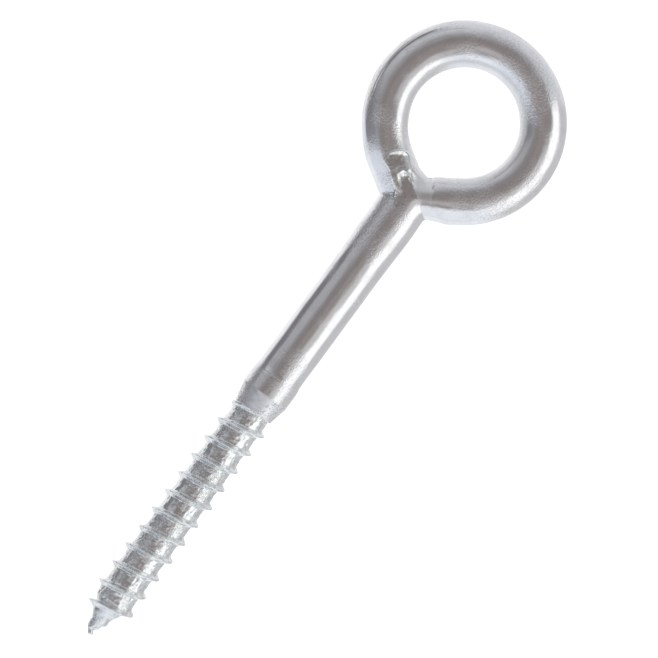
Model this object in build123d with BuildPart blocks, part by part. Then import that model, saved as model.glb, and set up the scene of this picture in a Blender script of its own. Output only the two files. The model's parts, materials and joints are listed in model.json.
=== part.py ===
"""Welded screw eye with a coarse wood thread, one bent and welded piece of zinc-plated rod.

It lies flat as it would on a bench: +X runs along the screw from the tip to the eye,
+Z is up, the eye lies level, and the origin is the middle of the underside.
"""

import os
from math import cos, pi, radians, sin, sqrt

from build123d import *

os.makedirs("parts", exist_ok=True)

# ---- driving dimensions, mm ----------------------------------------------------------
# Eye
under_eye_length = 107.8  # from the tip to the outside of the ring
eye_inner_d = 22.6  # round part of the opening
wire_d = 9.55  # bent rod of the eye
arm_angle = 57.5  # each straight arm against the screw's axis, degrees
weld_skin = 0.05  # weld metal round the joint, beyond the rod's own surface

# Plain shank
shank_d = 10.0
swell_d = 10.4  # where the bending dies gripped it
swell_setback = 8.0  # from the outside of the ring back to the thickest place
swell_length = 9.0  # from the plain shank up to the thickest place

# Rolled band and shoulder
band_d = 10.4
band_length = 4.2
band_chamfer = 0.4  # length of the step down to the shank
shoulder_length = 4.4  # from its foot up to the band
shoulder_foot_d = 8.6
foot_length = 0.4  # of the step from the thread's core up to the shoulder's foot

# Thread
thread_length = 56.0  # from the tip to the foot of the shoulder
thread_pitch = 4.5
thread_crest_d = 10.0
thread_core_d = 7.8
ridge_width = 1.8  # ridge where it meets the core
ridge_sink = 0.4  # how deep the ridge's foot is buried in the core
ridge_sweeps = 3  # equal stretches in which the full ridge is swept
fade_sections = 8  # cross-sections in each turn of a fading ridge
full_ridge_start = 7.0  # from the tip to where the ridge is at its full height
start_turns = 1.25  # ridge rising out of the point
start_ridge_d = 2.0  # ridge where it leaves the nib
runout_lead = 0.65  # turns before the shoulder's foot where the ridge starts to die away
runout_turns = 0.9  # ridge dying away on the shoulder
runout_d = 8.6  # ridge where it ends, under the shoulder's surface

# Point
nib_d = 1.1  # thin blunt end
nib_length = 1.0
cone_d = 1.5  # narrow end of the slim cone
point_d = 5.6  # wide end of the slim cone
point_length = 5.2
flare_length = 1.6  # from the slim cone out to the core

# Weld bead on the free arm, laid in short runs that lap over each other like scales
bead_length = 12.6
bead_width = 4.8
bead_height = 0.7  # above the top of the rod, at the bead's free end
bead_slope = 3.0  # how the bead sinks towards the shank, degrees
bead_chamfer = 0.6
bead_runs = 2
run_pitch = 4.2
run_step = 0.25  # height of each run over the one before

# ---- worked out from them ------------------------------------------------------------
wire_r = wire_d / 2
ring_r = eye_inner_d / 2 + wire_r  # centre line of the ring
eye_x = under_eye_length + ring_r + wire_r
overall_length = eye_x + ring_r + wire_r

arm_length = ring_r / sin(radians(arm_angle)) * cos(radians(arm_angle))
joint_x = eye_x - ring_r / sin(radians(arm_angle))  # where the arms' centre lines meet
joint_r = wire_r + weld_skin
arm_stop = sqrt(joint_r**2 - wire_r**2) / 2  # square end of an arm, inside the weld metal

core_r = thread_core_d / 2
crest_r = thread_crest_d / 2
flare_start = nib_length + point_length
band_start = thread_length + shoulder_length
band_end = band_start + band_length
swell_x = under_eye_length - swell_setback
full_turns = (thread_length - full_ridge_start) / thread_pitch - runout_lead

axis_height = max(swell_d, band_d, shank_d, thread_crest_d) / 2
tip = Vector(-overall_length / 2, 0, axis_height)
joint = Vector(tip.X + joint_x, 0, joint_r)  # the eye lies flat, on its weld metal
eye_centre = joint + Vector(eye_x - joint_x, 0, 0)

# In the side plane X runs along the screw from the tip, and Y is the distance from its axis.
side = Plane(origin=tip, x_dir=(1, 0, 0), z_dir=(0, -1, 0))


# ---- thread ridge --------------------------------------------------------------------
def core_radius(along):
    """Radius under the ridge, at a distance along the screw from the tip."""
    if along < flare_start:
        return (cone_d + (along - nib_length) / point_length * (point_d - cone_d)) / 2
    flare = (along - flare_start) / flare_length * (thread_core_d - point_d)
    return min(thread_core_d, point_d + flare) / 2


def ridge_foot(turn):
    """Point on the axis level with the ridge at that turn."""
    return tip + Vector(full_ridge_start + turn * thread_pitch, 0, 0)


def ridge_section(turn, foot_r, top_r):
    """Cross-section of the ridge in the plane through the axis at that turn."""
    angle = radians(90) + turn * 2 * pi
    outward = Vector(0, cos(angle), sin(angle))
    plane = Plane(ridge_foot(turn), x_dir=outward, z_dir=(0, outward.Z, -outward.Y))
    half_foot = ridge_width / (thread_crest_d - thread_core_d) * (top_r - foot_r)
    with BuildSketch(plane) as section:
        with BuildLine():
            Polyline((foot_r, -half_foot), (top_r, 0), (foot_r, half_foot), close=True)
        make_face()
    return section.sketch


def fading_ridge(first_turn, last_turn, first_top_r, last_top_r):
    """Evenly spaced cross-sections between two heights of the ridge."""
    steps = max(2, round((last_turn - first_turn) * fade_sections))
    sections = []
    for step in range(steps + 1):
        share = step / steps
        turn = first_turn + share * (last_turn - first_turn)
        top_r = first_top_r + share * (last_top_r - first_top_r)
        under_r = core_radius(full_ridge_start + turn * thread_pitch)
        foot_r = core_r - ridge_sink
        if turn < 0:
            foot_r = min(under_r, top_r) - ridge_sink
        sections.append(ridge_section(turn, foot_r, top_r))
    return sections


def full_ridge(first_turn, last_turn):
    """Ridge at its full height between two turns, swept at the top and screwed into place."""
    with BuildPart() as length:
        with BuildLine():
            path = Helix(
                pitch=thread_pitch,
                height=(last_turn - first_turn) * thread_pitch,
                radius=core_r,
                center=ridge_foot(0),
                direction=(1, 0, 0),
            )
        sweep(
            sections=ridge_section(0, core_r - ridge_sink, crest_r),
            path=path,
            is_frenet=True,
        )
    turned = length.part.rotate(Axis(tip, (1, 0, 0)), 360 * first_turn)
    return turned.translate(ridge_foot(first_turn) - ridge_foot(0))


with BuildPart() as ridge:
    for number in range(ridge_sweeps):
        add(
            full_ridge(
                number / ridge_sweeps * full_turns, (number + 1) / ridge_sweeps * full_turns
            )
        )
    loft(fading_ridge(-start_turns, 0, start_ridge_d / 2, crest_r))
    loft(fading_ridge(full_turns, full_turns + runout_turns, crest_r, runout_d / 2))


# ---- weld bead -----------------------------------------------------------------------
def arm_start(hand):
    """Where an arm leaves the ring: hand is 1 for the free arm and -1 for the other."""
    away = radians(arm_angle)
    return eye_centre + Vector(-sin(away), hand * cos(away), 0) * ring_r


def arm_direction(hand):
    """Unit vector down an arm, from the ring to the joint."""
    return Vector(-cos(radians(arm_angle)), -hand * sin(radians(arm_angle)), 0)


def bead_plane(distance, height):
    """Plane on the bead's sloping top, at a distance down the free arm."""
    down = arm_direction(1)
    across = Vector(-down.Y, down.X, 0)
    slope = Vector(down.X, down.Y, -sin(radians(bead_slope)))
    origin = arm_start(1) + slope * distance + Vector(0, 0, wire_r + height)
    return Plane(origin=origin, x_dir=slope, z_dir=slope.cross(across))


def bead_run(number):
    """One run of the bead, from its own free end to where the bead sinks into the joint."""
    run_start = number * run_pitch
    height = bead_height + number * run_step
    with BuildPart() as run:
        with BuildSketch(bead_plane((run_start + bead_length) / 2, height)):
            SlotOverall(bead_length - run_start, bead_width)
        extrude(amount=-height - wire_r / 2)
        chamfer(run.faces().sort_by(Axis.Z)[-1].edges(), bead_chamfer)
    return run.part


# ---- the whole screw eye -------------------------------------------------------------
with BuildPart() as screw_eye:
    # Point, core, shoulder, band and shank, turned, with the weld metal round the joint.
    with BuildSketch(side):
        with BuildLine():
            Polyline(
                (joint_x + joint_r, 0),
                (0, 0),
                (0, nib_d / 2),
                (nib_length, nib_d / 2),
                (nib_length, cone_d / 2),
                (flare_start, point_d / 2),
                (flare_start + flare_length, core_r),
                (thread_length, core_r),
                (thread_length + foot_length, shoulder_foot_d / 2),
                (band_start, band_d / 2),
                (band_end, band_d / 2),
                (band_end + band_chamfer, shank_d / 2),
                (swell_x - swell_length, shank_d / 2),
                (swell_x, swell_d / 2),
                (joint_x, joint_r),
            )
            CenterArc((joint_x, 0), joint_r, 0, 90)
        make_face()
    revolve(axis=Axis(tip, (1, 0, 0)))

    # Two straight arms, and the ring bent round between them.
    for hand in (-1, 1):
        with BuildSketch(Plane(arm_start(hand), x_dir=(0, 0, 1), z_dir=arm_direction(hand))):
            Circle(wire_r)
        extrude(amount=arm_length - arm_stop)
    with BuildSketch(Plane(arm_start(-1), x_dir=(0, 0, 1), z_dir=arm_direction(-1))):
        Circle(wire_r)
    revolve(axis=Axis(eye_centre, (0, 0, 1)), revolution_arc=180 + 2 * arm_angle)
    with Locations(joint):
        Sphere(joint_r)

    for number in range(bead_runs):
        add(bead_run(number))
    add(ridge.part)

screw_eye.part.label = "screw_eye"
export_step(screw_eye.part, "parts/screw_eye.step")
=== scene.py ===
import json
from math import atan2, cos, hypot, pi, radians, sin, tan

import bmesh
import bpy
from mathutils import Matrix, Vector, noise


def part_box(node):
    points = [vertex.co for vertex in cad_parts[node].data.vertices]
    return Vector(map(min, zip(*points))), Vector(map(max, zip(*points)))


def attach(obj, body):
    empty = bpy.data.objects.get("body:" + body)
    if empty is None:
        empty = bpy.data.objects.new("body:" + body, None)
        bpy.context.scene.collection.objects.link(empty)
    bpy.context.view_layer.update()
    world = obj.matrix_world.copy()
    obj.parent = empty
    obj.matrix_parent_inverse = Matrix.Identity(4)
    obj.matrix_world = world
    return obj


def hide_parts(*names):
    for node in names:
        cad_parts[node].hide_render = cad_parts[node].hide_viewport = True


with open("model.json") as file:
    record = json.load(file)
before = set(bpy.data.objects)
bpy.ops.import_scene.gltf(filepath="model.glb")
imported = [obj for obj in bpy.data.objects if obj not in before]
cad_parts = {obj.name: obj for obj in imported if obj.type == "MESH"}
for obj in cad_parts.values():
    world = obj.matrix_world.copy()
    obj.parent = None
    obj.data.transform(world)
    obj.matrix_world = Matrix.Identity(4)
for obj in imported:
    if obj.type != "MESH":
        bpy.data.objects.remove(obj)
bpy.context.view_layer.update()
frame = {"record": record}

# Everything is in metres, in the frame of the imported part: +X runs from the point to the eye, +Z is up.
mm = 0.001
tiny = 0.001 * mm  # vertices closer than this are one
lowCorner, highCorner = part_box("screw_eye")
mounts = {mount["name"]: mount for mount in frame["record"]["mounts"]}

tipPoint = Vector((lowCorner.x, 0, mounts["shank"]["pos_m"][2]))
eyeCentre = Vector(mounts["eye"]["pos_m"])
alongX = Vector((1, 0, 0))


def clamp(value, low=0.0, high=1.0):
    return max(low, min(high, value))


def smoothStep(edge0, edge1, value):
    # 0 at the first edge and 1 at the second
    share = clamp((value - edge0) / (edge1 - edge0))
    return share * share * (3 - 2 * share)


def fade(edge0, edge1, value):
    # 1 at the first edge and 0 at the second
    return 1 - smoothStep(edge0, edge1, value)


def through(points, value):
    # straight lines through (place, height) points, level before the first and after the last
    before = points[0]
    for point in points:
        if value < point[0]:
            span = point[0] - before[0]
            return before[1] + (point[1] - before[1]) * (value - before[0]) / span if span else point[1]
        before = point
    return before[1]


def inMm(*values):
    # millimetres, as metres
    return tuple(value * mm for value in values)


def lengths(*rows):
    return [inMm(*row) for row in rows]


def lumps(point, size, seed=0):
    # smooth random heights, about -0.6 to 0.6, with hills of the given size
    return noise.noise(point / size + Vector((seed * 7.3, seed * 3.1, seed * 1.7)))


def keepInside(bm):
    # nothing stands out of the part's own box
    for vertex in bm.verts:
        vertex.co = [clamp(*limits) for limits in zip(vertex.co, lowCorner, highCorner)]


def drawLine(points):
    # a line of edges through the points, to be spun
    bm = bmesh.new()
    verts = [bm.verts.new(point) for point in points]
    for pair in zip(verts, verts[1:]):
        bm.edges.new(pair)
    return bm


def finishMesh(name, bm, *materials):
    # recalculated normals, smooth shading, and an object that sits at the origin
    bmesh.ops.recalc_face_normals(bm, faces=bm.faces)
    for face in bm.faces:
        face.smooth = True
    mesh = bpy.data.meshes.new(name)
    bm.to_mesh(mesh)
    bm.free()
    piece = bpy.data.objects.new(name, mesh)
    bpy.context.scene.collection.objects.link(piece)
    for material in materials:
        mesh.materials.append(material)
    return piece


def standFor(piece):
    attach(piece, "root")
    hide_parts("screw_eye")
    return piece


# zinc
def newGroup(name, inputs, outputs):
    group = bpy.data.node_groups.new(name, "ShaderNodeTree")
    for title, kind, value in inputs:
        socket = group.interface.new_socket(title, in_out="INPUT", socket_type=kind)
        socket.default_value = value
    for title, kind in outputs:
        group.interface.new_socket(title, in_out="OUTPUT", socket_type=kind)
    return group, group.nodes.new("NodeGroupInput"), group.nodes.new("NodeGroupOutput")


def addNode(tree, kind, settings=(), **inputs):
    # i0, i1 and so on are sockets by number, the rest are sockets by name
    node = tree.nodes.new(kind)
    for name, value in dict(settings).items():
        setattr(node, name, value)
    for name, value in inputs.items():
        byNumber = name[0] == "i" and name[1:].isdigit()
        socket = node.inputs[int(name[1:])] if byNumber else node.inputs[name]
        if isinstance(value, bpy.types.NodeSocket):
            tree.links.new(value, socket)
        else:
            socket.default_value = value
    return node


def mathNode(tree, operation, first, second=0.0, third=0.0):
    return addNode(tree, "ShaderNodeMath", dict(operation=operation), i0=first, i1=second, i2=third).outputs[0]


def stretchNode(tree, vector, stretch):
    return addNode(tree, "ShaderNodeVectorMath", dict(operation="MULTIPLY"), i0=vector, i1=stretch).outputs[0]


def rampNode(tree, factor, stops):
    node = tree.nodes.new("ShaderNodeValToRGB")
    elements = node.color_ramp.elements
    while len(elements) < len(stops):
        elements.new(0.5)
    for element, (position, colour) in zip(elements, stops):
        element.position = position
        element.color = (*colour, 1)
    tree.links.new(factor, node.inputs["Fac"])
    return node.outputs["Color"]


# Uneven plating: broad waves, streaks drawn out along the rod, and a fine crystal grain
plating = dict(
    streakStretch=(0.06, 1, 1),  # along the rod, then across it
    waves=dict(Detail=2.0, Roughness=0.45),
    streaks=dict(Detail=2.0, Roughness=0.5),
    grain=dict(Detail=3.0, Roughness=0.6),
    patches=dict(Scale=150.0, Detail=1.0),  # the grain is stronger in some patches than in others
    patchRange=(0.44, 0.6),
    patchStrength=(0.4, 2.4),
    grainShare=0.6,  # of the tone and the gloss; the waves have the rest
    waveShare=0.4,
    toneStops=(0.36, 0.5, 0.62),  # dark, middle and pale
    glossRange=(0.35, 0.65),
    scoreStretch=(0.02, 1, 1),  # drawn lines
    score=dict(Scale=2600.0, Detail=1.0),
    scoreDepth=0.12 * mm,
)


def makePlatingGroup():
    group, given, result = newGroup(
        "unevenPlating",
        [("Vector", "NodeSocketVector", (0, 0, 0)), ("Streak Vector", "NodeSocketVector", (0, 0, 0)),
         ("Wave Scale", "NodeSocketFloat", 260.0), ("Streak Scale", "NodeSocketFloat", 1500.0),
         ("Grain Scale", "NodeSocketFloat", 2400.0)],
        [("Waves", "NodeSocketFloat"), ("Streaks", "NodeSocketFloat"), ("Grain", "NodeSocketFloat")],
    )
    g = given.outputs
    drawn = stretchNode(group, g["Streak Vector"], plating["streakStretch"])
    for title, place, scale, look in (
        ("Waves", g["Vector"], g["Wave Scale"], plating["waves"]),
        ("Streaks", drawn, g["Streak Scale"], plating["streaks"]),
        ("Grain", g["Vector"], g["Grain Scale"], plating["grain"]),
    ):
        value = addNode(group, "ShaderNodeTexNoise", Vector=place, Scale=scale, **look).outputs["Fac"]
        if title == "Grain":
            patch = addNode(group, "ShaderNodeTexNoise", Vector=place, **plating["patches"]).outputs["Fac"]
            (low, high), (weak, strong) = plating["patchRange"], plating["patchStrength"]
            strength = addNode(group, "ShaderNodeMapRange", i0=patch, i1=low, i2=high, i3=weak, i4=strong)
            value = mathNode(group, "MULTIPLY_ADD", mathNode(group, "SUBTRACT", value, 0.5),
                             strength.outputs["Result"], 0.5)
        group.links.new(value, result.inputs[title])
    return group


platingGroup = makePlatingGroup()


def makeZinc(name, look):
    # one bright zinc material; look holds its colours, gloss and relief
    material = bpy.data.materials.new(name)
    material.use_nodes = True
    tree = material.node_tree
    shader = tree.nodes["Principled BSDF"]
    shader.inputs["Metallic"].default_value = 1.0
    place = tree.nodes.new("ShaderNodeTexCoord").outputs["Object"]
    along = place
    if look["streakPlace"]:
        along = addNode(tree, "ShaderNodeAttribute", dict(attribute_name=look["streakPlace"])).outputs["Vector"]
    surface = addNode(tree, "ShaderNodeGroup", dict(node_tree=platingGroup), Vector=place)
    tree.links.new(along, surface.inputs["Streak Vector"])
    for title in ("Wave Scale", "Streak Scale", "Grain Scale"):
        surface.inputs[title].default_value = look[title]
    mixed = mathNode(tree, "ADD", mathNode(tree, "MULTIPLY", surface.outputs["Grain"], plating["grainShare"]),
                     mathNode(tree, "MULTIPLY", surface.outputs["Waves"], plating["waveShare"]))
    colours = (look["darkColour"], look["middleColour"], look["paleColour"])
    tree.links.new(rampNode(tree, mixed, list(zip(plating["toneStops"], colours))), shader.inputs["Base Color"])
    (low, high), (glossy, matt) = plating["glossRange"], look["roughness"]
    roughness = addNode(tree, "ShaderNodeMapRange", i0=mixed, i1=low, i2=high, i3=matt, i4=glossy).outputs[0]
    if look["dull"]:
        dull = addNode(tree, "ShaderNodeAttribute", dict(attribute_name=look["dull"])).outputs["Fac"]
        roughness = mathNode(tree, "MULTIPLY_ADD", dull, look["dullness"], roughness)
    tree.links.new(roughness, shader.inputs["Roughness"])
    normal = None
    for title, strength, height in look["relief"]:
        bump = addNode(tree, "ShaderNodeBump", Height=surface.outputs[title], Strength=strength, Distance=height)
        if normal:
            tree.links.new(normal, bump.inputs["Normal"])
        normal = bump.outputs["Normal"]
    if look["scored"]:  # drawn lines, only where the bending die scored the rod
        mask = addNode(tree, "ShaderNodeAttribute", dict(attribute_name=look["scored"])).outputs["Fac"]
        drawn = stretchNode(tree, along, plating["scoreStretch"])
        lines = addNode(tree, "ShaderNodeTexNoise", Vector=drawn, **plating["score"]).outputs["Fac"]
        bump = addNode(tree, "ShaderNodeBump", Height=mathNode(tree, "MULTIPLY", lines, mask), Normal=normal,
                       Strength=1.0, Distance=plating["scoreDepth"])
        normal = bump.outputs["Normal"]
    tree.links.new(normal, shader.inputs["Normal"])
    return material


rodLook = {
    "darkColour": (0.86, 0.85, 0.84), "middleColour": (0.95, 0.95, 0.95), "paleColour": (0.98, 0.98, 0.985),
    "roughness": (0.12, 0.22), "streakPlace": "straightRod", "scored": "scored",
    "dull": "dull", "dullness": 0.2,  # how much rougher it is where the attribute is 1
    "Wave Scale": 300.0, "Streak Scale": 900.0, "Grain Scale": 2600.0,
    "relief": [("Waves", 0.5, 0.06 * mm), ("Streaks", 0.6, 0.02 * mm), ("Grain", 1.0, 0.042 * mm)],
}
threadLook = dict(rodLook, **{
    "darkColour": (0.62, 0.65, 0.63), "middleColour": (0.95, 0.97, 0.96), "paleColour": (1.0, 1.0, 1.0),
    "roughness": (0.12, 0.30), "streakPlace": None, "scored": None, "dullness": 0.12,
    "Wave Scale": 1100.0, "Streak Scale": 1500.0, "Grain Scale": 3000.0,
    "relief": [("Waves", 0.8, 0.06 * mm), ("Grain", 0.9, 0.045 * mm)],
})
shoulderLook = dict(threadLook, **{
    "darkColour": (0.62, 0.63, 0.64), "middleColour": (0.97, 0.97, 0.98), "paleColour": (1.0, 1.0, 1.0),
    "roughness": (0.35, 0.55), "Wave Scale": 700.0, "dull": None,
    "relief": [("Waves", 0.5, 0.05 * mm), ("Grain", 0.6, 0.02 * mm)],
})
weldLook = dict(threadLook, **{
    "darkColour": (0.64, 0.64, 0.58), "middleColour": (0.85, 0.85, 0.83), "paleColour": (0.97, 0.95, 0.945),
    "roughness": (0.12, 0.28), "Wave Scale": 900.0, "dull": None,
    "relief": [("Waves", 0.8, 0.08 * mm), ("Grain", 0.7, 0.03 * mm)],
})
rodZinc = makeZinc("rodZinc", rodLook)
threadZinc = makeZinc("threadZinc", threadLook)
shoulderZinc = makeZinc("shoulderZinc", shoulderLook)
weldZinc = makeZinc("weldZinc", weldLook)
print("materials made")


# thread
thread = dict(
    length=56.0 * mm,  # from the tip to the foot of the shoulder
    pitch=4.5 * mm,
    coreRadius=3.9 * mm,
    crestRadius=5.03 * mm,
    # section of the ridge: distance from its crest, towards the eye, and share of its height
    ridge=[(-0.85 * mm, 0.0), (-0.72 * mm, 0.05), (-0.4 * mm, 0.54), (-0.06 * mm, 0.98), (0.0, 1.0),
           (0.07 * mm, 0.97), (0.36 * mm, 0.53), (0.62 * mm, 0.14), (0.85 * mm, 0.04), (1.15 * mm, 0.0)],
    rootSteps=14,
    rootHollow=0.08 * mm,  # the core is a little waisted between two ridges
    hollowFrom=1.0 * mm,  # of the ridge's middle
    ridgeMiddle=0.2 * mm,  # from its crest
    nibRadius=0.55 * mm,
    nibTaper=0.8,  # radius of its end, as a share of its own
    nibRounding=0.25 * mm,  # length over which the end swells out
    nibDome=0.8 * mm,  # stretch of the spun line that closes the end
    nibLength=1.0 * mm,
    nibStep=0.35 * mm,  # from the nib out to the cone
    # distance from the tip, and how far the nib and the cone lie aside there
    nibLean=lengths((0.0, -0.15), (1.15, 0.46), (2.0, 0.3), (3.2, 0.0), (4.8, 0.28), (6.6, 0.0)),
    nibSlant=0.3,  # its blunt end leans with it
    slantReach=1.6 * mm,
    coneRadius=0.78 * mm,
    pointLength=5.2 * mm,
    pointRadius=2.8 * mm,
    flareFrom=-0.2 * mm,
    flareLength=2.4 * mm,
    fullFrom=7.0 * mm,  # where the ridge is at its full height
    # radius of the crest by turn, where the ridge climbs out of the point
    start=[(-1.25, 0.6 * mm), (-0.75, 1.95 * mm), (-0.5, 3.0 * mm), (-0.25, 4.3 * mm), (0.1, 5.0 * mm)],
    runoutLead=0.65,  # turns before the shoulder's foot where the ridge starts to die away
    runoutTurns=0.9,
    runoutRadius=4.3 * mm,
    insideShoulder=0.6 * mm,
    hammered=lengths((0.08, 1.1), (0.085, 0.5)),  # height and size of the hills on its skin
    # how rough the skin is: share of the hills' height, and the stretch over which it comes up to that
    roughNib=2.2,
    roughFrom=inMm(0.9, 1.6),
    roughCone=0.25,
    coneFrom=inMm(2.4, 3.4),
    roughCore=0.75,
    coreFrom=inMm(5.5, 8),
    roughFirstTurn=0.7,
    firstTurnFrom=inMm(6.5, 8),
    firstTurnTo=inMm(10, 13),
    smoothCrest=0.75,  # of the roughness is gone on the crests
    crestFrom=(0.8, 1.0),
    dullPoint=inMm(9.0, 12.5),  # the point and the first turn are duller than the rest
    nicks=0.12 * mm,  # unevenness of the crest
    nickScale=0.45,  # in turns of the noise to a millimetre
    spareTurns=3,
    slices=128,  # round the axis
)
shoulder = dict(
    footRadius=4.3 * mm,
    footLength=0.4 * mm,
    length=4.4 * mm,  # from the foot up to the band
    bandRadius=5.2 * mm,
    bandLength=4.2 * mm,
    grooveWidth=0.3 * mm,
    grooveDepth=0.06 * mm,
    grooveSide=0.1 * mm,
    stepLength=0.4 * mm,  # down to the shank
    inThread=1.2 * mm,  # how far it reaches into the thread's core
    inShank=2.5 * mm,  # and into the shank
    coneRows=16,
    bandRows=17,
    slices=144,
    coneDents=inMm(0.05, 1.1),  # height and size
    wideDents=inMm(0.03, 2.5),
)


footStart = thread["length"]
footEnd = footStart + shoulder["footLength"]
bandStart = footStart + shoulder["length"]
bandEnd = bandStart + shoulder["bandLength"]


def coreRadiusAt(along):
    # radius under the ridge: blunt nib, slim cone, flare, then the core
    nib, point, nibRadius, taper = (thread[key] for key in ("nibLength", "pointLength", "nibRadius", "nibTaper"))
    if along < nib:
        return nibRadius * (taper + (1 - taper) * smoothStep(0, thread["nibRounding"], along))
    if along < nib + point:
        share = (along - nib) / point
        radius = thread["coneRadius"] + share * (thread["pointRadius"] - thread["coneRadius"])
        return nibRadius + (radius - nibRadius) * smoothStep(nib, nib + thread["nibStep"], along)
    flare = smoothStep(thread["flareFrom"], thread["flareLength"], along - nib - point)
    return thread["pointRadius"] + flare * (thread["coreRadius"] - thread["pointRadius"])


def crestRadiusAt(turn, lastTurn):
    # the ridge climbs out of the point, and dies away on the shoulder
    if turn < thread["start"][-1][0]:
        return through(thread["start"], turn)
    if turn > lastTurn:
        gone = clamp((turn - lastTurn) / thread["runoutTurns"])
        return thread["crestRadius"] + gone * (thread["runoutRadius"] - thread["crestRadius"])
    return thread["crestRadius"]


def roughnessAt(along, ridgeShare):
    rough = smoothStep(*thread["roughFrom"], along)
    rough *= 1 - thread["smoothCrest"] * smoothStep(*thread["crestFrom"], ridgeShare)
    onCone = smoothStep(*thread["coneFrom"], along)
    rough *= thread["roughNib"] - (thread["roughNib"] - thread["roughCone"]) * onCone
    onCore = thread["roughCore"] * smoothStep(*thread["coreFrom"], along)
    onFirst = smoothStep(*thread["firstTurnFrom"], along) * fade(*thread["firstTurnTo"], along)
    return rough + onCore + thread["roughFirstTurn"] * onFirst


def nibShift(along, aside):
    # along the screw, so that the blunt end lies square to the leaning nib
    slant = thread["nibSlant"]
    reach = thread["nibRadius"] * thread["nibTaper"]
    return (reach * slant - slant * aside) * fade(0, thread["slantReach"], along)


def makeThread():
    # a line of vertices along the axis, turned once round it while it moves on by one pitch
    pitch, ridge = thread["pitch"], thread["ridge"]
    offsets = [place for place, share in ridge]
    rootFrom, rootTo = offsets[-1], pitch + offsets[0]
    steps = thread["rootSteps"]
    offsets += [rootFrom + (rootTo - rootFrom) * step / steps for step in range(1, steps)]
    turns = (footStart - thread["fullFrom"]) / pitch
    lastTurn = turns - thread["runoutLead"]
    limit = footEnd + thread["insideShoulder"]

    drawnTurns = range(-thread["spareTurns"], int(turns) + thread["spareTurns"])
    places = [thread["fullFrom"] + turn * pitch + offset for turn in drawnTurns for offset in offsets]
    bm = drawLine(tipPoint + Vector((place, 0, 1 * mm)) for place in places)
    steps = thread["slices"]
    bmesh.ops.spin(bm, geom=bm.verts[:] + bm.edges[:], cent=tipPoint, axis=alongX, dvec=alongX * (pitch / steps),
                   angle=2 * pi, steps=steps)
    bmesh.ops.remove_doubles(bm, verts=bm.verts, dist=tiny)

    for vertex in bm.verts:
        along = vertex.co.x - tipPoint.x
        angle = atan2(vertex.co.z - tipPoint.z, vertex.co.y)
        outward = Vector((0, cos(angle), sin(angle)))
        part = (angle / (2 * pi) - 0.25) % 1  # share of a turn, counted from the top
        turn = round((along - thread["fullFrom"]) / pitch - part) + part
        offset = along - thread["fullFrom"] - turn * pitch
        if along <= 0 or along >= limit:  # closed in the middle of the blunt tip, and inside the shoulder
            vertex.co = tipPoint + alongX * clamp(along, 0.0, limit)
            if along <= 0:
                reach = thread["nibRadius"] * thread["nibTaper"] * clamp(1 + along / thread["nibDome"])
                shift = Vector((nibShift(0, outward.y * reach), thread["nibLean"][0][1], 0))
                vertex.co += outward * reach + shift
            continue
        under, ridgeShare = coreRadiusAt(along), through(ridge, offset)
        if under == thread["coreRadius"]:
            fromRidge = abs(offset - thread["ridgeMiddle"])
            under -= thread["rootHollow"] * smoothStep(thread["hollowFrom"], pitch / 2, fromRidge)
        radius = under
        if thread["start"][0][0] < turn < lastTurn + thread["runoutTurns"]:
            nick = thread["nicks"] * noise.noise(vertex.co / mm * thread["nickScale"])
            radius += max(0.0, crestRadiusAt(turn, lastTurn) + nick - under) * ridgeShare
        skin = tipPoint + alongX * along + outward * radius
        rough = roughnessAt(along, ridgeShare)
        for height, size in thread["hammered"]:
            radius += rough * height * noise.noise(skin / size)
        lean = Vector((0, through(thread["nibLean"], along), 0))
        vertex.co = tipPoint + alongX * (along + nibShift(along, outward.y * radius)) + outward * radius + lean
    bmesh.ops.remove_doubles(bm, verts=bm.verts, dist=4 * tiny)
    bmesh.ops.dissolve_degenerate(bm, edges=bm.edges, dist=tiny)
    dull = bm.verts.layers.float.new("dull")
    for vertex in bm.verts:
        vertex[dull] = fade(*thread["dullPoint"], vertex.co.x - tipPoint.x)
    return standFor(finishMesh("threadedPoint", bm, threadZinc))


threadedPoint = makeThread()
print("thread made", len(threadedPoint.data.polygons))


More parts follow.
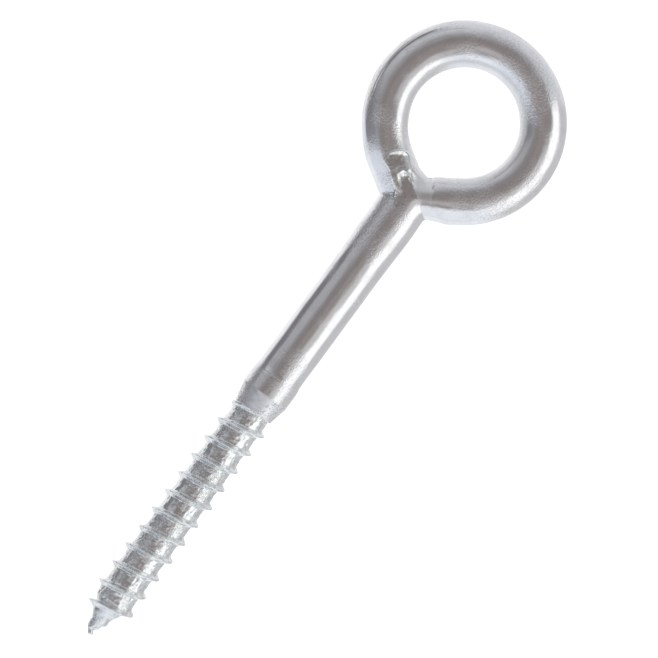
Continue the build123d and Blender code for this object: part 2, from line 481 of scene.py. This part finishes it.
# bent and welded rod; the shoulder needs its radius too
rod = dict(
    wireRadius=4.775 * mm,  # of the ring and its arms
    shankRadius=5.0 * mm,
    swellRadius=5.2 * mm,
    swellLength=11.0 * mm,
    swellBack=0.35,  # share of its length from its thickest place to the bend
    swellLoss=0.6,  # share of it that is gone again just past the bend's start
    swellLossEnd=2 * mm,
    armAngle=57.5,  # between the shank and an arm, degrees
    bendRadius=5.7 * mm,  # of the fused tube's bend into the fixed arm; the skin itself is mitred there
    mitreBlend=0.35 * mm,
    # the weld drew the free arm a little out of line: how far, and where down the arm that starts and ends
    armBow=0.5 * mm,
    bowFrom=inMm(-7, 1.5),
    bowTo=inMm(5, 11),
    bowAcross=7 * mm,
    cornerFill=0.7 * mm,  # weld metal in the corner of the opening
    fillFrom=inMm(4.5, 8.5),  # down the free arm
    # the fixed arm's outer side was squeezed by the bend: distance from the joint, and depth
    neck=lengths((2.5, 0.75), (3.5, 0.69), (5.8, 0.42), (7.6, 0.0)),
    cutCorner=inMm(-2.3, 5.5),  # the free arm's cut end on its outer side, from the joint
    cutNormal=(-0.937, -0.35),
    cutFrom=-3 * mm,  # across the arm
    cutFlare=(-4.2 * mm, 1.2),  # where the cut end turns away, and how steeply
    # the fill's edge on the fixed arm: distance from the joint, depth, width, and how far across the arm it fades
    creaseAt=4.6 * mm,
    creaseDepth=0.42 * mm,
    creaseWidth=0.2 * mm,
    creaseAcross=inMm(0.5, 4.5),
    creaseBelow=-1 * mm,
    creaseSlant=0.07,
    jointBlend=0.6 * mm,  # softness of the inside corners
    jointReach=15 * mm,  # beyond this, only one part of the rod counts
    jointPasses=5,  # over which a point near the joint settles on the skin
    jointSlope=0.2,  # least slope taken for the blended skin
    insideSquareness=2.35,  # 2 is round; the bending die left the eye's inner side a little square
    squareReach=7 * mm,  # down an arm
    unevenness=lengths((0.05, 9.0, 2.6), (0.016, 3.5, 0.9)),  # height, length and width
    # drawn lines: stretch of the ring, in degrees from the fixed arm, and share of the way to the outer side
    scoredRing=((176, 188), (250, 262)),
    scoredSide=((0.58, 0.66), (0.88, 0.97)),
    # duller plating inside the eye: share of the way to the inner side, then the stretch in degrees
    dullSide=(0.58, 0.74),
    dullMiddle=147,
    dullHalf=150,
    inBand=0.6 * mm,  # how far the rod reaches into the band
    startFlat=0.4 * mm,  # stretch of that end which stays as it is
    voxel=0.27 * mm,
    shankSteps=60,
    bendSteps=14,
    fixedArmSteps=10,
    freeArmSteps=14,
    ringSteps=96,
    slices=64,
)
# weld metal in the corner of the opening: dull, and ending in a fine groove across the fixed arm
cornerWeld = dict(
    lowest=-3 * mm,  # across the fixed arm, towards the opening
    edge=0.15 * mm,
    dullFrom=inMm(-1.6, 0.6),
    dullTo=inMm(4, 7),
    besideBead=inMm(0.8, 1.8),  # across the free arm
    grooveWidth=0.3 * mm,
    grooveDepth=0.09 * mm,
    grooveFrom=inMm(-2, 0),
    grooveTo=inMm(3, 5),
)


# shoulder and rolled band
def shoulderProfile():
    # from the axis inside the thread's core to the axis inside the shank, as (distance from the tip, radius)
    core, foot, top = thread["coreRadius"], shoulder["footRadius"], shoulder["bandRadius"]
    start = footStart - shoulder["inThread"]
    profile = [(start, 0), (start, core - 0.15 * mm), (footStart - 0.15 * mm, core - 0.06 * mm),
               (footStart, core), (footStart + 0.1 * mm, foot - 0.06 * mm), (footEnd - 0.15 * mm, foot)]
    for row in range(1, shoulder["coneRows"]):
        share = row / shoulder["coneRows"]
        profile.append((footEnd + share * (bandStart - footEnd), foot + share * (top - foot)))
    profile += [(bandStart - 0.05 * mm, top - 0.012 * mm), (bandStart + 0.05 * mm, top)]
    side = shoulder["grooveSide"]
    grooveEnd = bandEnd - side
    groove = grooveEnd - shoulder["grooveWidth"]
    for row in range(1, shoulder["bandRows"]):
        profile.append((bandStart + row / shoulder["bandRows"] * (groove - bandStart), top))
    bottom, shank = top - shoulder["grooveDepth"], rod["shankRadius"]
    stepEnd, end = bandEnd + shoulder["stepLength"], bandEnd + shoulder["inShank"]
    profile += [
        (groove, top), (groove + side, bottom), (grooveEnd - side, bottom), (grooveEnd, top - 0.01 * mm),
        (bandEnd, top - 0.04 * mm), (stepEnd, shank + 0.02 * mm), (stepEnd + 0.25 * mm, shank + 0.03 * mm),
        (stepEnd + 0.45 * mm, shank - 0.03 * mm), (end, shank - 0.12 * mm), (end, 0),
    ]
    return profile


def makeShoulder():
    bm = drawLine(tipPoint + Vector((along, 0, radius)) for along, radius in shoulderProfile())
    bmesh.ops.spin(bm, geom=bm.verts[:] + bm.edges[:], cent=tipPoint, axis=alongX, angle=2 * pi,
                   steps=shoulder["slices"], use_merge=True)
    bmesh.ops.remove_doubles(bm, verts=bm.verts, dist=tiny)
    (coneHeight, coneSize), (wideHeight, wideSize) = shoulder["coneDents"], shoulder["wideDents"]
    straight = bm.verts.layers.float_vector.new("straightRod")
    for vertex in bm.verts:
        along = vertex.co.x - tipPoint.x
        outward = Vector((0, vertex.co.y, vertex.co.z - tipPoint.z))
        vertex[straight] = (0, along, 0)  # rolling marks run round the band
        if outward.length > 1 * mm:
            onCone = smoothStep(footStart, footEnd, along) * fade(bandStart - 0.6 * mm, bandStart, along)
            dents = coneHeight * lumps(vertex.co, coneSize) * onCone + wideHeight * lumps(vertex.co, wideSize)
            vertex.co += outward.normalized() * dents
    for face in bm.faces:
        middle = face.calc_center_median().x - tipPoint.x
        face.material_index = 1 if middle < bandStart else 0
    keepInside(bm)
    return standFor(finishMesh("shoulderAndBand", bm, rodZinc, shoulderZinc))


makeShoulder()
print("shoulder and band made")


# shank, arms and ring
ringRadius = highCorner.x - eyeCentre.x - rod["wireRadius"]
turn = radians(rod["armAngle"])
joint = eyeCentre - alongX * (ringRadius / sin(turn))
armLength = ringRadius / tan(turn)
lean = rod["bendRadius"] * tan(turn / 2)  # from the corner back to where the bend starts
rodStart = tipPoint.x + bandEnd - rod["inBand"]
bendStart = joint.x - lean
toRing = bendStart - rodStart + rod["bendRadius"] * turn + armLength - lean  # along the rod, from its start
swellAt = bendStart - rod["swellLength"] * rod["swellBack"]


def armStart(hand):
    # where an arm leaves the ring; hand is 1 for the free arm and -1 for the other
    return eyeCentre + Vector((-sin(turn), hand * cos(turn), 0)) * ringRadius


def armDirection(hand):
    # down an arm, from the ring to the joint
    return Vector((-cos(turn), -hand * sin(turn), 0))


def armInner(hand):
    # across an arm, towards the opening
    return Vector((sin(turn), -hand * cos(turn), 0))


def onArm(point):
    # how far a point lies down the free arm, and across it
    fromStart = point - armStart(1)
    return fromStart.dot(armDirection(1)), fromStart.dot(armInner(1))


def shankRadiusAt(x):
    loss = rod["swellLoss"] * smoothStep(swellAt, bendStart + rod["swellLossEnd"], x)
    rise = smoothStep(swellAt - rod["swellLength"], swellAt, x) * (1 - loss)
    return rod["shankRadius"] + (rod["swellRadius"] - rod["shankRadius"]) * rise


def shankHeightAt(x):
    return tipPoint.z + (joint.z - tipPoint.z) * smoothStep(swellAt - rod["swellLength"], bendStart, x)


def pushTube(bm, loop, move, scale=1.0):
    # extrudes the open end of a tube, and narrows or widens it about its middle
    grown = bmesh.ops.extrude_edge_only(bm, edges=loop)["geom"]
    verts = [item for item in grown if isinstance(item, bmesh.types.BMVert)]
    edges = [item for item in grown
             if isinstance(item, bmesh.types.BMEdge) and all(v in verts for v in item.verts)]
    middle = sum((v.co for v in verts), Vector()) / len(verts)
    bmesh.ops.scale(bm, verts=verts, vec=(scale, scale, scale), space=Matrix.Translation(-middle))
    bmesh.ops.translate(bm, verts=verts, vec=move)
    return edges


def bendTube(bm, loop, centre, angle, steps):
    # spins the open end of a tube about an upright axis
    verts = {v for edge in loop for v in edge.verts}
    spun = bmesh.ops.spin(bm, geom=list(verts) + list(loop), cent=centre, axis=(0, 0, 1), angle=angle,
                          steps=steps)["geom_last"]
    return [item for item in spun if isinstance(item, bmesh.types.BMEdge)]


def makeRodBody():
    # one tube from the band, round the bend, the arm, the ring and the free arm, back into its own side
    bm = bmesh.new()
    start = Vector((rodStart, 0, tipPoint.z))
    circle = bmesh.ops.create_circle(bm, segments=rod["slices"], radius=rod["shankRadius"],
                                     matrix=Matrix.Translation(start) @ Matrix.Rotation(pi / 2, 4, "Y"))["verts"]
    loop = list({edge for v in circle for edge in v.link_edges})
    first = list(loop)
    steps = rod["shankSteps"]
    for step in range(1, steps + 1):
        last, x = (rodStart + (bendStart - rodStart) * share / steps for share in (step - 1, step))
        move = Vector((x - last, 0, shankHeightAt(x) - shankHeightAt(last)))
        loop = pushTube(bm, loop, move, shankRadiusAt(x) / shankRadiusAt(last))
    radius = shankRadiusAt(bendStart)
    loop = bendTube(bm, loop, Vector((bendStart, -rod["bendRadius"], joint.z)), -turn, rod["bendSteps"])
    steps = rod["fixedArmSteps"]
    for step in range(steps):
        wide = radius + (rod["wireRadius"] - radius) / (steps - step)
        loop = pushTube(bm, loop, -armDirection(-1) * (armLength - lean) / steps, wide / radius)
        radius = wide
    loop = bendTube(bm, loop, eyeCentre, pi + 2 * turn, rod["ringSteps"])
    for step in range(rod["freeArmSteps"]):
        loop = pushTube(bm, loop, armDirection(1) * armLength / rod["freeArmSteps"])
    for edges in (first, loop):
        bmesh.ops.contextual_create(bm, geom=edges)
    return bm


def rodPlace(x, y, part):
    # nearest place on the centre line of one part of the rod, "shank", "fixed" arm or "free" arm, each arm with
    # its half of the ring: x, y, z, the way to the inner side, distance along the rod, radius, and how square
    # the inner side is
    if part == "shank":
        reached = min(x, joint.x)
        return (reached, 0.0, shankHeightAt(reached), 0.0, 1.0, reached - rodStart, shankRadiusAt(reached), 0.0)
    hand = 1 if part == "free" else -1
    start, down, inner = armStart(hand), armDirection(hand), armInner(hand)
    distance = (x - start.x) * down.x + (y - start.y) * down.y
    if distance <= 0:
        away = atan2(y - eyeCentre.y, x - eyeCentre.x)
        inX, inY = -cos(away), -sin(away)
        along = toRing + ringRadius * (away + pi / 2 + turn)
        return (eyeCentre.x - inX * ringRadius, eyeCentre.y - inY * ringRadius, eyeCentre.z, inX, inY, along,
                rod["wireRadius"], 1.0)
    reached = min(distance, armLength)
    along = toRing - reached if hand == -1 else toRing + ringRadius * (pi + 2 * turn) + reached
    return (start.x + down.x * reached, start.y + down.y * reached, eyeCentre.z, inner.x, inner.y, along,
            rod["wireRadius"], fade(0, rod["squareReach"], distance))


def rodSkin(point, part):
    # how far a point stands off the skin of one part of the rod, the way out, and its place on the straight rod
    x, y, z, inX, inY, along, radius, square = rodPlace(point.x, point.y, part)
    offset = point - Vector((x, y, z))
    inward, up = offset.x * inX + offset.y * inY, offset.z
    reach = radius
    if inward > 0 and square > 0:
        angle = atan2(up, inward)
        power = 2 + (rod["insideSquareness"] - 2) * square
        reach = radius / (abs(cos(angle)) ** power + abs(sin(angle)) ** power) ** (1 / power)
    gap, out = offset.length - reach, offset.normalized()
    if part == "free":
        if inward > 0:
            fill = smoothStep(*rod["fillFrom"], onArm(point)[0])
            gap -= rod["cornerFill"] * fill * (inward / offset.length) ** 2
        elif inward < rod["cutFrom"]:
            normal, (flareFrom, flare) = Vector((*rod["cutNormal"], 0)), rod["cutFlare"]
            fromCorner = point - joint - Vector((*rod["cutCorner"], 0))
            cut = fromCorner.dot(normal) - flare * max(0.0, inward - flareFrom)
            if cut > gap:
                gap, out = cut, normal
    elif part == "fixed":
        fromJoint = -(point - joint).dot(armDirection(-1))
        if inward < 0:
            gap += through(rod["neck"], fromJoint) * (inward / offset.length) ** 2
        elif up > rod["creaseBelow"]:
            beforeEdge = smoothStep(rod["creaseWidth"], 0, fromJoint - rod["creaseAt"])
            gap += rod["creaseDepth"] * beforeEdge * smoothStep(*rod["creaseAcross"], inward)
    return gap, out, Vector((along, inward, up))


def blendSkins(first, second, blend):
    # one skin out of two, with a soft inside corner
    share = clamp(0.5 + 0.5 * (second[0] - first[0]) / blend)
    gap = second[0] + (first[0] - second[0]) * share - blend * share * (1 - share)
    return gap, second[1].lerp(first[1], share), first[2] if share > 0.5 else second[2]


def ontoSkin(point):
    # moves a point onto the rod; near the joint the shank and both arms count
    if (point - joint).length > rod["jointReach"]:
        part = "shank" if point.x < joint.x else "free" if point.y > 0 else "fixed"
        gap, out, place = rodSkin(point, part)
        return point - out * gap, place
    for step in range(rod["jointPasses"]):
        bent = blendSkins(rodSkin(point, "shank"), rodSkin(point, "fixed"), rod["mitreBlend"])
        gap, out, place = blendSkins(bent, rodSkin(point, "free"), rod["jointBlend"])
        point = point - out * (gap / max(out.length_squared, rod["jointSlope"]))
    return point, place


# weld bead: runs of metal that lap over each other on top of the free arm. Places are down the arm, from where
# it leaves the ring, and across it towards the opening.
bead = dict(
    # height above the arm, in the middle, at places down it
    top=lengths((-1.0, 0.06), (2.4, 0.14), (3.4, 0.24), (4.6, 0.62), (6.0, 0.64), (9.6, 0.45)),
    lean=0.16,  # slope down to its left side, which lies flush with the arm
    crown=0.085,  # how fast it falls to the right
    # its rounded end: places across, and how far down the arm it begins there
    lip=lengths((-2.2, 1.25), (-1.2, 0.5), (-0.2, 0.15), (0.9, 0.18), (2.05, 0.55), (3.1, 1.2), (3.8, 2.4)),
    # its sides: places down the arm, and how far across they lie
    leftSide=lengths((0.6, -2.15), (1.2, -2.15), (2.2, -1.9), (3.8, -1.65), (5.4, -2.05), (7.5, -2.0),
                     (9, -3.0)),
    rightSide=lengths((0.6, 3.7), (2.4, 4.0), (5.0, 4.2), (9.0, 4.8)),
    # width over which each edge comes up
    lipWall=0.3 * mm,
    leftWall=0.25 * mm,
    rightWall=2.2 * mm,
    sinks=inMm(7.0, 10.0),  # where it runs into the shank
    thinsDown=inMm(3.4, 8.4),  # where its right side thins out, down the arm and across it
    thinsAcross=inMm(1.3, 2.4),
    # raised edge behind the lip: height and length of its slope at places across
    lipRim=lengths((-2.0, 0.10), (-0.6, 0.16), (0.6, 0.48), (3.0, 0.62)),
    lipSlope=lengths((-2.0, 0.3), (-0.4, 0.4), (0.8, 1.05), (3.0, 1.25)),
    rimFrom=0.15 * mm,
    rimKnee=0.8,  # share of the slope after which it levels out
    # step down from the first run to the second: places across, and how far down the arm it lies
    stepLine=lengths((-2.2, 5.6), (-1.1, 5.15), (-0.1, 4.7), (1.0, 4.65), (2.0, 5.6)),
    stepDown=0.58 * mm,
    stepLength=1.15 * mm,
    stepWander=inMm(0.3, 0.9),  # unevenness of the line, and its size
    stepLeft=inMm(-1.25, -0.1),
    stepRight=inMm(1.0, 1.9),
    stepGone=inMm(6.5, 9.5),
    pit=inMm(5.9, 1.3, 0.36, 0.2),  # down, across, radius, depth
    hammered=lengths((0.07, 1.2), (0.045, 0.5)),  # height and size of the hills on its skin
    calmer=0.6,  # share of the hills that is gone on the second run
    calmFrom=inMm(5.5, 7),
    blistered=inMm(0.06, 0.42),  # rough skin on its left part
    blisterSide=inMm(-1.2, -0.2),
    blisterEnd=inMm(3, 4.5),
    heated=4.4 * mm,  # blotchy skin round the joint
    heatedSide=inMm(0.8, 2.0),
    heatedDepth=1.6 * mm,
    # where the mesh is made finer, and where the arm counts at all: down the arm, across it, and below its top
    finer=inMm(-1.0, 10, -3.4, 4.2, 2.4),
    reach=inMm(-1.5, 11, -6.5, 6.5, 2.6),
    notchAt=inMm(8.5, -3.6),  # puckered skin where the free arm meets the shank's side
    notchReach=1.9 * mm,
    pucker=inMm(0.026, 0.6),  # height and spacing of the wrinkles
    puckerWay=(0.8, 0.6),
    puckerWander=inMm(0.25, 1.2),
    puckerLumps=0.7 * mm,
    puckerWeld=0.3,  # share of the weld's look
    weldShare=0.35,  # a face with more than this is weld metal
)


def edgeHeight(gap, width):
    # a quarter circle, from 0 at an edge to 1 at its width inside
    return (1 - (1 - clamp(gap / width)) ** 2) ** 0.5


def beadTop(down, across, skin):
    # height of the bead's top, and how much of the bead there is at that place
    lipGap = down - through(bead["lip"], across)
    wall = edgeHeight(lipGap, bead["lipWall"])
    wall *= edgeHeight(across - through(bead["leftSide"], down), bead["leftWall"])
    wall *= smoothStep(0, bead["rightWall"], through(bead["rightSide"], down) - across)
    wall *= fade(*bead["sinks"], down)
    wall *= 1 - smoothStep(*bead["thinsDown"], down) * smoothStep(*bead["thinsAcross"], across)
    if wall <= 0:
        return 0.0, 0.0
    height = through(bead["top"], down) + bead["lean"] * min(across, 0.0)
    height -= bead["crown"] * max(across, 0.0) ** 2 / mm
    rim, knee = clamp((lipGap - bead["rimFrom"]) / through(bead["lipSlope"], across)), bead["rimKnee"]
    height += through(bead["lipRim"], across) * (1 - rim * (2 - rim) if rim > knee else 1 - (2 - knee) * rim)
    wander, wanderSize = bead["stepWander"]
    pastLine = down - through(bead["stepLine"], across) + wander * lumps(skin, wanderSize, 6)
    besides = smoothStep(*bead["stepLeft"], across) * fade(*bead["stepRight"], across)
    height -= bead["stepDown"] * besides * clamp(pastLine / bead["stepLength"]) * fade(*bead["stepGone"], down)
    for size, width in bead["hammered"]:
        height += size * lumps(skin, width, 2) * (1 - bead["calmer"] * smoothStep(*bead["calmFrom"], down))
    blister, blisterSize = bead["blistered"]
    blister *= lumps(skin, blisterSize, 8)
    height += blister * fade(*bead["blisterSide"], across) * fade(*bead["blisterEnd"], down)
    pitDown, pitAcross, pitRadius, pitDepth = bead["pit"]
    fromPit = hypot(down - pitDown, across - pitAcross)
    height -= pitDepth * fade(0.4 * pitRadius, pitRadius * 1.2, fromPit)
    return height, wall


def shapeBead(bm, weldLayer):
    # finer faces where the bead lies, then the top of the arm is raised to the bead
    armTop = eyeCentre.z + rod["wireRadius"]

    def within(limits, along, across):
        return limits[0] < along < limits[1] and limits[2] < across < limits[3]

    edges = set()
    for face in bm.faces:
        middle = face.calc_center_median()
        if within(bead["finer"], *onArm(middle)) and middle.z > armTop - bead["finer"][4]:
            edges.update(face.edges)
    bmesh.ops.subdivide_edges(bm, edges=list(edges), cuts=1, use_grid_fill=True)
    for vertex in bm.verts:
        point = vertex.co
        along, across = onArm(point)
        if not within(bead["reach"], along, across):
            continue
        if point.z > armTop - bead["reach"][4]:
            height, wall = beadTop(along, across, point)
            raised = armTop + height - point.z
            if wall > 0 and raised > 0:
                vertex.co = point + Vector((0, 0, raised * wall))
            vertex[weldLayer] = wall
        if point.z > armTop - bead["heatedDepth"]:
            blotches = fade(0.5 * bead["heated"], bead["heated"], (point.xy - joint.xy).length)
            vertex[weldLayer] = max(vertex[weldLayer], blotches * fade(*bead["heatedSide"], across))
        fromNotch = hypot(along - bead["notchAt"][0], across - bead["notchAt"][1])
        pucker = fade(0.3 * bead["notchReach"], bead["notchReach"], fromNotch)
        if pucker > 0:
            (height, spacing), (wander, wanderSize) = bead["pucker"], bead["puckerWander"]
            way = point.xy.dot(bead["puckerWay"]) + wander * lumps(point, wanderSize, 4)
            wrinkle = sin(way / spacing * 2 * pi) + lumps(point, bead["puckerLumps"], 5)
            vertex.co += vertex.normal * pucker * height * wrinkle
            vertex[weldLayer] = max(vertex[weldLayer], bead["puckerWeld"] * pucker)


def fuseRod():
    # the tube runs into its own side, so a voxel remesh fuses it
    piece = finishMesh("rodUnion", makeRodBody())
    remesh = piece.modifiers.new("weld", "REMESH")
    remesh.mode = "VOXEL"
    remesh.voxel_size = rod["voxel"]
    fused = bpy.data.meshes.new_from_object(piece.evaluated_get(bpy.context.evaluated_depsgraph_get()))
    bpy.data.objects.remove(piece)
    bm = bmesh.new()
    bm.from_mesh(fused)
    bpy.data.meshes.remove(fused)
    print("rod fused", len(bm.verts))
    return bm


def makeEyeRod():
    # the points of the fused tube go onto a true round rod, and take its marks
    bm = fuseRod()
    straight = bm.verts.layers.float_vector.new("straightRod")
    weldLayer, scored, dull = (bm.verts.layers.float.new(name) for name in ("weld", "scored", "dull"))
    for vertex in bm.verts:
        if vertex.co.x < rodStart + rod["startFlat"]:
            continue
        point, place = ontoSkin(vertex.co)
        vertex[straight] = place
        aroundRing = (place.x - toRing) / ringRadius * 180 / pi
        outside = -place.y / rod["wireRadius"]
        if abs(aroundRing - rod["dullMiddle"]) < rod["dullHalf"]:
            vertex[dull] = smoothStep(*rod["dullSide"], -outside)
        (scoreStart, scoreEnd), (lowSide, highSide) = rod["scoredRing"], rod["scoredSide"]
        vertex[scored] = (smoothStep(*scoreStart, aroundRing) * fade(*scoreEnd, aroundRing)
                          * smoothStep(*lowSide, outside) * fade(*highSide, outside) * (place.z > 0))

        fromJoint, cornerSide = -(point - joint).dot(armDirection(-1)), (point - joint).dot(armInner(-1))
        if cornerSide > cornerWeld["lowest"] and point.z > eyeCentre.z:
            pastEdge = fromJoint - rod["creaseAt"] + rod["creaseSlant"] * cornerSide
            corner = fade(-cornerWeld["edge"], cornerWeld["edge"], pastEdge)
            corner *= smoothStep(*cornerWeld["dullFrom"], cornerSide) * fade(*cornerWeld["dullTo"], cornerSide)
            corner *= smoothStep(*cornerWeld["besideBead"], (point - joint).dot(armInner(1)))
            vertex[dull] = max(vertex[dull], corner)
            groove = max(0.0, 1 - abs(pastEdge) / cornerWeld["grooveWidth"])
            groove *= smoothStep(*cornerWeld["grooveFrom"], cornerSide)
            groove *= fade(*cornerWeld["grooveTo"], cornerSide)
            point = point - vertex.normal * cornerWeld["grooveDepth"] * groove
        for height, length, width in rod["unevenness"]:
            drawn = Vector((place.x / length, place.y / width, place.z / width))
            point = point + vertex.normal * height * noise.noise(drawn)
        distance, across = onArm(point)
        if abs(across) < rod["bowAcross"]:
            bow = smoothStep(*rod["bowFrom"], distance) * fade(*rod["bowTo"], distance)
            point = point - armInner(1) * rod["armBow"] * bow
        vertex.co = point
    bm.normal_update()
    shapeBead(bm, weldLayer)
    for face in bm.faces:
        onBead = sum(v[weldLayer] for v in face.verts) / len(face.verts)
        face.material_index = 1 if onBead > bead["weldShare"] else 0
    keepInside(bm)
    return standFor(finishMesh("eyeRod", bm, rodZinc, weldZinc))


eyeRod = makeEyeRod()
print("shank, arms and ring made", len(eyeRod.data.polygons))


# floor, light and camera
studio = dict(
    floorColour=(0.80, 0.80, 0.81),
    floorRoughness=0.9,
    floorGlow=0.75,
    floorHalf=1.5,
    viewWidth=133.5 * mm,  # across the picture, at the object
    viewMiddle=inMm(3.945, -2.571),
    viewDistance=0.85,
    viewTurn=-53.72,  # degrees
    sensor=36.0,
)


def makeFloor():
    # matt and pale; the camera sees it as white paper that still takes the shadow
    material = bpy.data.materials.new("paleFloor")
    material.use_nodes = True
    tree = material.node_tree
    shader = tree.nodes["Principled BSDF"]
    shader.inputs["Base Color"].default_value = (*studio["floorColour"], 1)
    shader.inputs["Roughness"].default_value = studio["floorRoughness"]
    shader.inputs["Specular IOR Level"].default_value = 0.0
    shader.inputs["Emission Color"].default_value = (1, 1, 1, 1)
    seen = tree.nodes.new("ShaderNodeLightPath").outputs["Is Camera Ray"]
    tree.links.new(mathNode(tree, "MULTIPLY", seen, studio["floorGlow"]), shader.inputs["Emission Strength"])
    bm = bmesh.new()
    bmesh.ops.create_grid(bm, x_segments=1, y_segments=1, size=studio["floorHalf"])
    floorPiece = finishMesh("studioFloor", bm, material)
    floorPiece.visible_glossy = False  # the metal sees the room's own pale lower half instead


makeFloor()

# What the metal sees: a tone for each zenith angle, then soft-edged patches of wall, lamp and window.
# Azimuth is counted from +X towards +Y, zenith from straight up, both in degrees.
room = dict(
    tones=[
        (0, (0.268, 0.236, 0.232)), (16, (0.222, 0.197, 0.198)), (28, (0.232, 0.216, 0.22)),
        (40, (0.288, 0.276, 0.29)), (52, (0.392, 0.392, 0.412)), (66, (0.495, 0.507, 0.538)),
        (80, (0.58, 0.596, 0.633)), (100, (0.625, 0.635, 0.678)), (120, (0.69, 0.70, 0.745)),
        (145, (0.77, 0.775, 0.81)), (163, (0.87, 0.875, 0.895)), (180, (0.95, 0.95, 0.97)),
    ],
    # azimuth of the middle, half the width, zenith from and to, softness of the edge, colour
    patches=[
        # pale floor on the left
        (85, 35, 124, 190, 8, (0.92, 0.915, 0.945)),
        # door frame, doorway and dark shelf
        (100, 16, 50, 80, 12, (0.346, 0.35, 0.37)),
        (119, 14, 44, 116, 5, (0.215, 0.217, 0.237)),
        (85, 36, 77, 111, 5, (0.19, 0.185, 0.20)),
        # window, brighter window, and the wall below them
        (166, 30, 31, 112, 5, (0.672, 0.71, 0.792)),
        (-148, 26, 43, 108, 6, (0.787, 0.823, 0.883)),
        (-172, 53, 112, 190, 8, (0.835, 0.869, 0.907)),
        # lit strip of ceiling
        (-167, 42, 4, 26, 4, (0.442, 0.413, 0.418)),
        # the big soft lamp, with the glow over it and the bench under it
        (-94, 34, 17, 50, 9, (0.54, 0.53, 0.54)),
        (-81, 41, 43, 84, 3, (1.08, 1.09, 1.105)),
        (-80, 40, 84, 149, 5, (0.55, 0.548, 0.568)),
    ],
)


def makePatchGroup():
    # mask of a soft-edged patch of the room, from the azimuth and zenith angle of a direction
    titles = ["Azimuth", "Zenith", "Middle", "Half Width", "Low", "High", "Softness"]
    group, given, result = newGroup("roomPatch", [(title, "NodeSocketFloat", 0.0) for title in titles],
                                    [("Mask", "NodeSocketFloat")])
    g = given.outputs
    fromMiddle = mathNode(group, "WRAP", mathNode(group, "SUBTRACT", g["Azimuth"], g["Middle"]), 180.0, -180.0)

    def edge(value, limit, rising):
        # 0 outside the limit and 1 inside it, over twice the softness
        outside = mathNode(group, "SUBTRACT" if rising else "ADD", limit, g["Softness"])
        inside = mathNode(group, "ADD" if rising else "SUBTRACT", limit, g["Softness"])
        return addNode(group, "ShaderNodeMapRange", dict(interpolation_type="SMOOTHSTEP"), i0=value, i1=outside,
                       i2=inside, i3=0.0, i4=1.0).outputs["Result"]

    mask = mathNode(group, "MULTIPLY", edge(g["Zenith"], g["Low"], True), edge(g["Zenith"], g["High"], False))
    sides = edge(mathNode(group, "ABSOLUTE", fromMiddle), g["Half Width"], False)
    group.links.new(mathNode(group, "MULTIPLY", mask, sides), result.inputs["Mask"])
    return group


def mixNode(tree, factor, first, second):
    return addNode(tree, "ShaderNodeMix", dict(data_type="RGBA"), i0=factor, i6=first, i7=second).outputs[2]


def makeWorld():
    world = bpy.data.worlds.new("studioRoom")
    bpy.context.scene.world = world
    world.use_nodes = True
    tree = world.node_tree
    place = tree.nodes.new("ShaderNodeTexCoord").outputs["Generated"]
    direction = addNode(tree, "ShaderNodeSeparateXYZ", i0=place)
    zenith = mathNode(tree, "DEGREES", mathNode(tree, "ARCCOSINE", direction.outputs["Z"]))
    azimuth = mathNode(tree, "DEGREES", mathNode(tree, "ARCTAN2", direction.outputs["Y"], direction.outputs["X"]))
    stops = [(angle / 180, tone) for angle, tone in room["tones"]]
    colour = rampNode(tree, mathNode(tree, "DIVIDE", zenith, 180.0), stops)
    patchGroup = makePatchGroup()
    for middle, half, low, high, softness, tone in room["patches"]:
        mask = addNode(tree, "ShaderNodeGroup", dict(node_tree=patchGroup), Azimuth=azimuth, Zenith=zenith,
                       Middle=middle, Low=low, High=high, Softness=softness)
        mask.inputs["Half Width"].default_value = half
        colour = mixNode(tree, mask.outputs["Mask"], colour, (*tone, 1))
    path = tree.nodes.new("ShaderNodeLightPath")
    shown = mixNode(tree, path.outputs["Is Camera Ray"], colour, (1, 1, 1, 1))  # the camera itself sees white
    tree.links.new(shown, tree.nodes["Background"].inputs["Color"])


makeWorld()


def makeCamera():
    camera = bpy.data.cameras.new("topCamera")
    camera.sensor_width = studio["sensor"]
    distance = studio["viewDistance"]
    camera.lens = studio["sensor"] * (distance - eyeCentre.z) / studio["viewWidth"]
    camera.clip_start, camera.clip_end = 0.01, 10
    thing = bpy.data.objects.new("topCamera", camera)
    thing.location = (*studio["viewMiddle"], distance)
    thing.rotation_euler = (0, 0, radians(studio["viewTurn"]))
    bpy.context.scene.collection.objects.link(thing)
    bpy.context.scene.camera = thing


makeCamera()
bpy.context.scene.view_settings.view_transform = "Standard"
print("floor, light and camera set")
